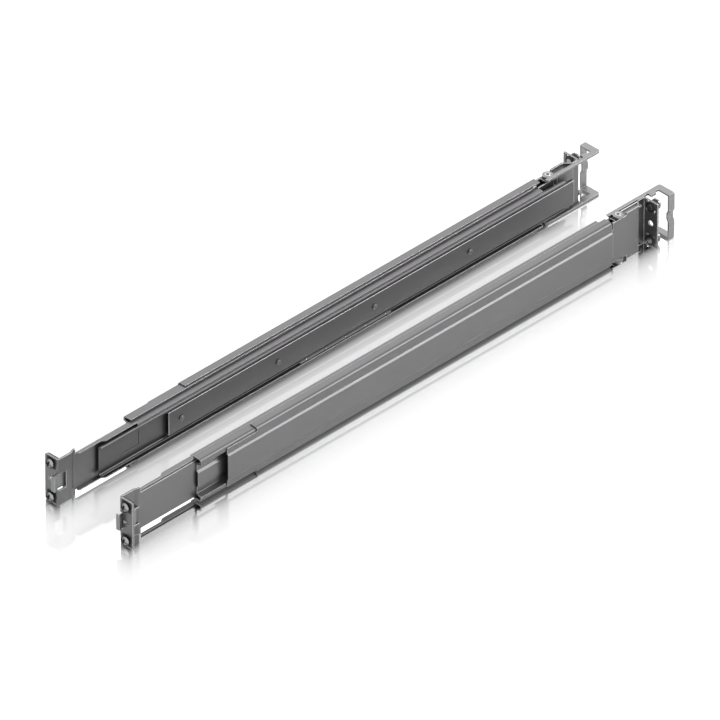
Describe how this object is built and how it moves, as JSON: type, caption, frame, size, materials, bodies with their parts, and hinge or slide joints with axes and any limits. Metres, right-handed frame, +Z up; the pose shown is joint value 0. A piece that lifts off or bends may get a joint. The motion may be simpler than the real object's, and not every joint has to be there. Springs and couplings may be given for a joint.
{
  "type": "sliding server rail pair",
  "caption": "Mirrored pair of telescopic server rails with mounting ears, sprung post hooks, ball-bearing slides, and depth-adjustable rear brackets with finger levers.",
  "frame": {"origin": "centre of the pair's footprint, on the surface that the front ears stand on", "axes": "+Z up; +Y from the front ears to the rear levers; +X from the left rail to the right rail"},
  "size_m": [0.104, 0.6026, 0.0436],
  "materials": {
    "bracket_steel": "zinc-plated, satin",
    "channel_steel": "zinc-plated, satin",
    "outer_steel": "zinc-plated, satin",
    "slide_steel": "zinc-plated, satin",
    "inner_steel": "zinc-plated, satin",
    "rivet_steel": "zinc-plated",
    "stud_steel": "bright zinc",
    "dark_steel": "black oxide",
    "bright_nickel": "bright nickel plate",
    "lever_steel": "zinc-plated, satin",
    "pin_steel": "plain",
    "spring_steel": "plain drawn wire",
    "cage_plastic": "matt",
    "ball_steel": "polished"
  },
  "bodies": {
    "rails": {"right_front_bracket": "bracket_steel", "right_front_bushings": "dark_steel", "right_front_screws": "bright_nickel", "right_front_hook_pin": "pin_steel", "right_front_hook_spring": "spring_steel", "right_front_channel": "channel_steel", "right_outer_channel": "outer_steel", "right_slide_fixed_member": "slide_steel", "right_slide_rivets": "rivet_steel", "left_front_bracket": "bracket_steel", "left_front_bushings": "dark_steel", "left_front_screws": "bright_nickel", "left_front_hook_pin": "pin_steel", "left_front_hook_spring": "spring_steel", "left_front_channel": "channel_steel", "left_outer_channel": "outer_steel", "left_slide_fixed_member": "slide_steel", "left_slide_rivets": "rivet_steel"},
    "right_middle": {"right_slide_middle_member": "slide_steel"},
    "right_inner": {"right_slide_inner_member": "inner_steel", "right_chassis_studs": "stud_steel"},
    "right_outer_cage": {"right_outer_ball_cage": "cage_plastic", "right_outer_balls": "ball_steel"},
    "right_inner_cage": {"right_inner_ball_cage": "cage_plastic", "right_inner_balls": "ball_steel"},
    "right_rear": {"right_rear_bracket": "bracket_steel", "right_rear_bushings": "dark_steel", "right_rear_screws": "bright_nickel", "right_rear_lever_pins": "pin_steel", "right_rear_lever_spring": "spring_steel"},
    "right_lever": {"right_rear_lever": "lever_steel"},
    "right_hook": {"right_front_hook": "lever_steel"},
    "left_middle": {"left_slide_middle_member": "slide_steel"},
    "left_inner": {"left_slide_inner_member": "inner_steel", "left_chassis_studs": "stud_steel"},
    "left_outer_cage": {"left_outer_ball_cage": "cage_plastic", "left_outer_balls": "ball_steel"},
    "left_inner_cage": {"left_inner_ball_cage": "cage_plastic", "left_inner_balls": "ball_steel"},
    "left_rear": {"left_rear_bracket": "bracket_steel", "left_rear_bushings": "dark_steel", "left_rear_screws": "bright_nickel", "left_rear_lever_pins": "pin_steel", "left_rear_lever_spring": "spring_steel"},
    "left_lever": {"left_rear_lever": "lever_steel"},
    "left_hook": {"left_front_hook": "lever_steel"}
  },
  "joints": [
    {"name": "right_middle_slide", "type": "slide", "parent": "rails", "child": "right_middle", "axis": [0, -1, 0], "range_m": [0, 0.34]},
    {"name": "right_inner_slide", "type": "slide", "parent": "right_middle", "child": "right_inner", "axis": [0, -1, 0], "range_m": [0, 0.36]},
    {"name": "right_outer_cage_slide", "type": "slide", "parent": "rails", "child": "right_outer_cage", "axis": [0, -1, 0], "range_m": [0, 0.17]},
    {"name": "right_inner_cage_slide", "type": "slide", "parent": "right_middle", "child": "right_inner_cage", "axis": [0, -1, 0], "range_m": [0, 0.18]},
    {"name": "right_rear_slide", "type": "slide", "parent": "rails", "child": "right_rear", "axis": [0, 1, 0], "range_m": [0, 0.29]},
    {"name": "right_lever_hinge", "type": "hinge", "parent": "right_rear", "child": "right_lever", "pos_m": [0.0389, 0.2481, 0.0218], "axis": [0, 0, 1], "range_deg": [0, 10], "stiffness_Nm_per_rad": 0.2, "springref_deg": -5.73},
    {"name": "right_hook_hinge", "type": "hinge", "parent": "rails", "child": "right_hook", "pos_m": [0.03825, -0.2865, 0.0218], "axis": [0, 0, 1], "range_deg": [-7, 0], "stiffness_Nm_per_rad": 0.05, "springref_deg": 11.46},
    {"name": "left_middle_slide", "type": "slide", "parent": "rails", "child": "left_middle", "axis": [0, -1, 0], "range_m": [0, 0.34]},
    {"name": "left_inner_slide", "type": "slide", "parent": "left_middle", "child": "left_inner", "axis": [0, -1, 0], "range_m": [0, 0.36]},
    {"name": "left_outer_cage_slide", "type": "slide", "parent": "rails", "child": "left_outer_cage", "axis": [0, -1, 0], "range_m": [0, 0.17]},
    {"name": "left_inner_cage_slide", "type": "slide", "parent": "left_middle", "child": "left_inner_cage", "axis": [0, -1, 0], "range_m": [0, 0.18]},
    {"name": "left_rear_slide", "type": "slide", "parent": "rails", "child": "left_rear", "axis": [0, 1, 0], "range_m": [0, 0.29]},
    {"name": "left_lever_hinge", "type": "hinge", "parent": "left_rear", "child": "left_lever", "pos_m": [-0.0389, 0.2481, 0.0218], "axis": [0, 0, -1], "range_deg": [0, 10], "stiffness_Nm_per_rad": 0.2, "springref_deg": -5.73},
    {"name": "left_hook_hinge", "type": "hinge", "parent": "rails", "child": "left_hook", "pos_m": [-0.03825, -0.2865, 0.0218], "axis": [0, 0, -1], "range_deg": [-7, 0], "stiffness_Nm_per_rad": 0.05, "springref_deg": 11.46}
  ],
  "couplings": [
    {"joint": "right_outer_cage_slide", "follows": "right_middle_slide", "ratio": 0.5},
    {"joint": "right_inner_cage_slide", "follows": "right_inner_slide", "ratio": 0.5},
    {"joint": "left_outer_cage_slide", "follows": "left_middle_slide", "ratio": 0.5},
    {"joint": "left_inner_cage_slide", "follows": "left_inner_slide", "ratio": 0.5}
  ]
}
